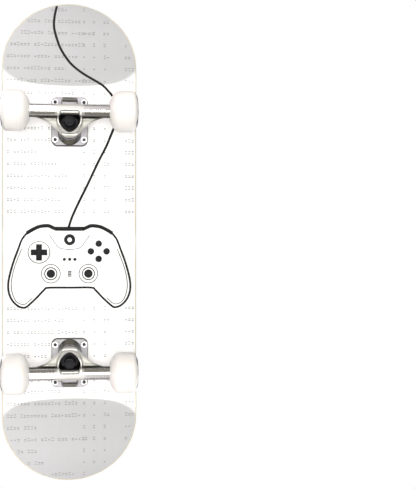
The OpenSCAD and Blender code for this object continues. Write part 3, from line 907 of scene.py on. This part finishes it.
def wheel_profile():
    """Half section of the tyre: (radius, distance from the board's middle)."""
    lip = []
    for a in range(0, 91, 6):
        across = max(0.0, math.cos(math.radians(a))) ** (2 / LIP_POWER)
        along = math.sin(math.radians(a)) ** (2 / LIP_POWER)
        lip.append((HUB_R + (WHEEL_R - HUB_R) * across, WHEEL_FACE - LIP_RISE * (1 - along)))
    front = [(11.0, 65.0), (12.0, 63.6), (12.4, 57.0), (13.4, 56.1), (16.6, 57.2), (22.8, 60.6), (26.8, 64.2),
             (WHEEL_R, 68.4)]
    radii = [0, 0.3, 0.3, 0.5, 4.0, 8.0, 3.0, 2.0]
    back = [(12.8, 95.9), (12.3, 95.4), (12.0, 89.7), (11.0, 89.1), (11.0, 82.0), (9.6, 82.0), (9.6, 72.0),
            (11.0, 72.0)]
    section = front + lip + back
    return fillet(section, radii + [0] * len(lip) + [0, 0.3, 0, 0, 0, 0, 0, 0])


def on_wheel_axis(x_mid, side):
    """Places a lathe profile on a wheel's axis: side is 1 for +Y and -1 for -Y."""
    return lambda u, v, d: (x_mid + u, side * d, AXLE_Z + v)


def on_wheel_face(x_mid, side, spin):
    """Lays flat artwork on the domed outer face, turned by spin."""
    def place(u, v):
        r = math.hypot(u, v)
        over = max(0.0, r - HUB_R) / (WHEEL_R - HUB_R)
        depth = LIP_RISE * (1 - (1 - over ** LIP_POWER) ** (1 / LIP_POWER))
        angle = math.atan2(v, u) + spin
        slant = over * 0.7
        out = Vector((slant * math.cos(angle), side, slant * math.sin(angle))).normalized()
        point = (x_mid + r * math.cos(angle), side * (WHEEL_FACE - depth), AXLE_Z + r * math.sin(angle))
        return point, out
    return place


def wheel_badge():
    """Black field with three cut corners round the bearing."""
    art = Artwork()
    steps, rows = 144, 8
    for row in range(rows):
        inner, outer = [], []
        for k in range(steps):
            angle = math.tau * k / steps
            from_corner = (angle + math.pi / 3) % (math.tau / 3) - math.pi / 3
            reach = min(BADGE_CORNER, BADGE_SIDE / math.cos(math.pi / 3 - abs(from_corner)))
            for store, share in ((inner, row / rows), (outer, (row + 1) / rows)):
                r = HUB_R + (reach - HUB_R) * share
                store.append((r * math.cos(angle), r * math.sin(angle)))
        art.strip(outer, inner, 0, True)
    return art


def wheel_ring():
    """White ring, three spikes towards the corners and a small round mark."""
    art = Artwork()
    art.ring((0, 0), 14.4, 13.0, 1, 72)
    for k in range(3):
        angle = math.tau * k / 3
        for i in range(4):
            rows = []
            for share in (i / 4, (i + 1) / 4):
                r = 14.3 + 3.4 * share
                half = 1.5 * (1 - share) / r
                rows.append([(r * math.cos(angle - half), r * math.sin(angle - half)),
                             (r * math.cos(angle + half + 0.002), r * math.sin(angle + half + 0.002))])
            art.strip(rows[0], rows[1], 1)
    mark = (-19.2, 0.0)
    art.ring(mark, 4.3, 3.0, 1)
    art.disc(mark, 1.9, 1)
    return art


def build_wheel(name, x_mid, side, spin):
    """A tyre with its print, all riding the wheel."""
    body = name + "_wheel"
    tyre = lathe(name + "_tyre", wheel_profile(), on_wheel_axis(x_mid, side), LOOKS["wheel_urethane"], 144)
    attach(tyre, body)
    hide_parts(body)
    face = on_wheel_face(x_mid, side, spin)
    wheel_badge().lay(name + "_badge", face, WHEEL_BLACK, body, "wheel_urethane")
    wheel_ring().lay(name + "_badge_ring", face, WHITE_INK, body, "wheel_urethane")


def shield_profile(start, outward):
    """Pressed shield: a flat rim, a shallow step and a raised inner lip."""
    rim, lip, t = 9.75, 6.05, 0.35
    outer = [(rim, 0.0), (9.0, 0.0), (8.7, -0.22), (6.9, -0.22), (6.6, 0.0), (lip, 0.05)]
    inner = [(lip, -t), (6.6, -t), (6.9, -t - 0.2), (8.7, -t - 0.2), (9.0, -t), (rim, -t)]
    return [(r, start + outward * d) for r, d in outer + inner]


def build_shields(name, x_mid, side):
    """Four shields on each wheel, one on each face of both bearings."""
    place = on_wheel_axis(x_mid, side)
    shields = []
    for number, seat in enumerate(BEARING_SEATS):
        for outward, start in ((-1, seat + 0.2), (1, seat + BEARING_W - 0.2)):
            label = f"{name}_shield_{number}_{'in' if outward < 0 else 'out'}"
            shields.append(lathe(label, shield_profile(start, outward), place, LOOKS["shield"], 72, 60))
    for shield in shields:
        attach(shield, name + "_wheel")
    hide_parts(name + "_shields")


# ---- axle tubes ----

def build_tube_sleeves(label, end):
    """The turned and polished outside of the hanger's axle tube, left and right of the yoke."""
    profile = [(8.6, 14.0), (TUBE_R, 14.0), (TUBE_R, 58.8), (7.8, 61.4), (7.0, 61.5), (7.0, 60.4),
               (8.6, 58.2)]
    profile = fillet(profile, [0, 0, 0.6, 0.3, 0, 0, 0], 4)
    for side, side_name in ((1, "left"), (-1, "right")):
        sleeve = lathe(f"{label}_{side_name}_tube", profile, on_wheel_axis(end * WHEEL_X, side),
                       LOOKS["polished_aluminium"], 128)
        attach(sleeve, label + "_hanger")


# ---- bushings ----

def on_kingpin(end):
    """Places a lathe profile on a kingpin: end is 1 for the front truck and -1 for the rear."""
    return lambda u, v, d: (end * (SEAT_X + u * TILT_Z + d * TILT_X), v, SEAT_Z + u * TILT_X - d * TILT_Z)


def build_bushings(label, end):
    """Both bushings, turned round the kingpin's tilted axis."""
    place = on_kingpin(end)
    bore = 4.98
    lower = [(bore, 1.0), (11.6, 1.0), (12.6, 2.2), (13.0, 4.6), (13.0, 12.2), (12.4, 13.0), (bore, 13.0)]
    upper = [(bore, 19.55), (12.0, 19.55), (12.3, 20.4), (11.7, 23.0), (10.6, 27.3), (bore, 27.3)]
    for part, profile, radii, fixed_end, turning_end in (
            ("lower", lower, [0, 1.2, 1.5, 3.0, 0.4, 0.3, 0], 1.0, 13.0),
            ("upper", upper, [0, 0.4, 1.0, 4.0, 0.8, 0], 27.3, 19.55)):
        profile = fillet(profile, radii, 5)
        dense = []
        for k, (r, d) in enumerate(profile):
            r2, d2 = profile[(k + 1) % len(profile)]
            pieces = max(1, math.ceil(abs(d2 - d) / 1.2))
            dense += [(r + (r2 - r) * i / pieces, d + (d2 - d) * i / pieces) for i in range(pieces)]
        piece = lathe(f"{label}_{part}_bush", dense, place, LOOKS["bushing_urethane"], 72)
        Vector(place(0, 0, fixed_end)) * MM
        Vector(place(0, 0, turning_end)) * MM
        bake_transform(piece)
        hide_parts(f"{label}_{part}_bushing")


# ---- CAD pieces that stay ----

def soften(obj, rounds):
    """Gives a casting the soft fillets of a sand mould."""
    remesh = obj.modifiers.new("casting", "REMESH")
    remesh.mode = "VOXEL"
    remesh.voxel_size = CAST_VOXEL * MM
    remesh.use_smooth_shade = True
    smooth = obj.modifiers.new("fillets", "SMOOTH")
    smooth.iterations = rounds


def chamfer(obj, width):
    """Breaks the sharp edges of turned and forged pieces."""
    merge = obj.modifiers.new("merge", "WELD")
    merge.merge_threshold = 1e-6
    bevel = obj.modifiers.new("edges", "BEVEL")
    bevel.width = width * MM
    bevel.segments = 2
    bevel.limit_method = "ANGLE"
    bevel.angle_limit = math.radians(32)


def dress_cad_nodes():
    """Gives each CAD node that keeps showing its material, and its edges their finish."""
    slots = {part["node"]: part["material_slot"] for part in frame["record"]["subparts"]}
    for name, obj in frame["nodes"].items():
        slot = slots[name]
        if slot not in LOOKS:
            continue
        obj.data.materials.clear()
        obj.data.materials.append(LOOKS[slot])
        if name.endswith("_hanger"):
            soften(obj, 5)
        elif name.endswith("_baseplate"):
            soften(obj, 4)
        elif name.endswith(("kingpin_nut", "axle_nuts", "mounting_nuts", "kingpin")):
            chamfer(obj, 0.35)
        elif name.endswith(("washer", "washers", "axle", "riser_pad")):
            chamfer(obj, 0.25)


# ---- stage ----

def build_floor():
    """A pale floor that fades to white far out, and shows from above only: the camera looks up from below."""
    half, z = 5000, -0.2
    corners = [(-half, -half, z), (half, -half, z), (half, half, z), (-half, half, z)]
    floor = make_object("floor", corners, [(0, 1, 2, 3)], [])
    look = Look("pale_floor", roughness=0.6)
    tint = look.noise(3.0, 2.0)
    look.colour(look.ramp(tint, (0.3, (0.78, 0.78, 0.775)), (0.7, (0.81, 0.81, 0.805))))
    white = look.nodes.new("ShaderNodeEmission").outputs["Emission"]
    clear = look.nodes.new("ShaderNodeBsdfTransparent").outputs["BSDF"]
    from_middle = look.length(look.axis("X"), look.axis("Y"))
    back = look.nodes.new("ShaderNodeNewGeometry").outputs["Backfacing"]
    shader = look.shader.outputs["BSDF"]
    for share, second in ((look.fade(from_middle, 450, 1600), white), (back, clear)):
        blend = look.nodes.new("ShaderNodeMixShader")
        for socket, value in zip(blend.inputs, (share, shader, second)):
            look.links.new(value, socket)
        shader = blend.outputs["Shader"]
    look.links.new(shader, look.nodes["Material Output"].inputs["Surface"])
    floor.data.materials.append(look.material)
    floor.visible_shadow = False
    floor.visible_diffuse = False
    floor.visible_glossy = False


def softbox(name, at, aim, size, power, colour=(1, 1, 1)):
    """A rectangular lamp, all in metres, that lights the scene but doesn't show."""
    data = bpy.data.lights.new(name, "AREA")
    data.shape = "RECTANGLE"
    data.size, data.size_y = size
    data.energy = power
    data.color = colour
    lamp = bpy.data.objects.new(name, data)
    bpy.context.scene.collection.objects.link(lamp)
    direction = Vector(aim) - Vector(at)
    lamp.matrix_world = Matrix.Translation(at) @ direction.to_track_quat("-Z", "Y").to_matrix().to_4x4()
    lamp.visible_camera = False


def build_flag():
    """A dark card below the floor, between the trucks, that keeps each end's low lights off the other."""
    corners = [(0, -600, -800), (0, 600, -800), (0, 600, -3), (0, -600, -3)]
    card = make_object("flag", corners, [(0, 1, 2, 3)], [])
    look = Look("flag_card", roughness=0.9)
    look.colour(look.ramp(look.noise(3.0), (0.3, (0.20, 0.195, 0.165)), (0.7, (0.25, 0.245, 0.21))))
    card.data.materials.append(look.material)
    card.visible_camera = False
    card.visible_diffuse = False
    card.visible_transmission = False


def build_lights():
    """Unequal soft lamps below, where the camera looks from, and two above for the other views."""
    for end, name in ((1, "nose"), (-1, "tail")):
        for side, label, power in ((-1, "right", 4.4), (1, "left", 1.2)):
            softbox(f"low_{name}_{label}", (end * 0.76, side * 0.36, -0.38), (end * 0.185, side * 0.36, 0.03),
                    (0.7, 0.9), power, (1.0, 0.94, 0.96))
    for side, label, power in ((-1, "right", 1.2), (1, "left", 4.5)):
        softbox(f"low_side_{label}", (0, side * 1.3, -0.36), (0, side * 0.09, 0.03), (1.6, 0.5), power)
    softbox("low_middle", (0, 0, -1.7), (0, 0, 0.08), (0.8, 1.6), 34, (1.0, 0.99, 0.94))
    softbox("top_key", (0.7, -0.9, 1.5), (0, 0, 0.1), (1.1, 1.1), 19)
    softbox("top_fill", (-0.9, 0.8, 1.2), (0, 0, 0.1), (1.2, 1.2), 11)


def build_world():
    """White to the camera. For shading, a dim room that is brighter overhead."""
    world = bpy.data.worlds.new("studio")
    bpy.context.scene.world = world
    world.use_nodes = True
    nodes, links = world.node_tree.nodes, world.node_tree.links
    backdrop = nodes["Background"]
    coords = nodes.new("ShaderNodeTexCoord")
    split = nodes.new("ShaderNodeSeparateXYZ")
    links.new(coords.outputs["Generated"], split.inputs[0])
    ramp = nodes.new("ShaderNodeValToRGB")
    height = nodes.new("ShaderNodeMapRange")
    links.new(split.outputs["Z"], height.inputs["Value"])
    height.inputs["From Min"].default_value = -1.0
    links.new(height.outputs["Result"], ramp.inputs["Fac"])
    stops = ((0.0, 0.42), (0.12, 0.16), (0.40, 0.05), (0.52, 0.35), (0.75, 0.8), (1.0, 1.0))
    fill_ramp(ramp, [(place, (level, level, level)) for place, level in stops])
    rays = nodes.new("ShaderNodeLightPath")
    choose = nodes.new("ShaderNodeMix")
    choose.data_type = "RGBA"
    links.new(rays.outputs["Is Camera Ray"], choose.inputs[0])
    links.new(ramp.outputs["Color"], choose.inputs[6])
    choose.inputs[7].default_value = (1.0, 1.0, 1.0, 1.0)
    links.new(choose.outputs[2], backdrop.inputs["Color"])
    strength = nodes.new("ShaderNodeMapRange")
    links.new(rays.outputs["Is Camera Ray"], strength.inputs["Value"])
    strength.inputs["To Min"].default_value = 0.55
    links.new(strength.outputs["Result"], backdrop.inputs["Strength"])


def build_camera():
    """Looks straight up at the underside, nose up, with the board in the left third of the frame."""
    data = bpy.data.cameras.new("camera")
    data.lens = 83.0
    data.sensor_width = 36.0
    data.clip_end = 50.0
    camera = bpy.data.objects.new("camera", data)
    bpy.context.scene.collection.objects.link(camera)
    distance, towards_tail, aside = 1.65, 0.0034, 0.2025
    at = Vector((0.0, 0.0, DECK_Z * MM - distance))
    aim = Vector((-towards_tail, aside, DECK_Z * MM))
    forward = (aim - at).normalized()
    right = forward.cross(Vector((1, 0, 0))).normalized()
    up = right.cross(forward)
    turn = Matrix((right, up, -forward)).transposed()
    camera.matrix_world = Matrix.Translation(at) @ turn.to_4x4()
    bpy.context.scene.camera = camera


# ---- everything, in order ----

build_camera()
dress_cad_nodes()
build_deck()
build_grip()
build_artwork()
for end, end_name in ((1, "front"), (-1, "rear")):
    build_tube_sleeves(end_name, end)
    build_bushings(end_name, end)
    # each wheel has stopped at its own turn, in degrees
    for side, side_name, spin in ((1, "left", -29), (-1, "right", -31)):
        wheel = f"{end_name}_{side_name}"
        build_wheel(wheel, end * WHEEL_X, side, math.radians(spin + 2 * end))
        build_shields(wheel, end * WHEEL_X, side)
build_floor()
build_flag()
build_lights()
build_world()
bpy.context.scene.view_settings.view_transform = "Standard"
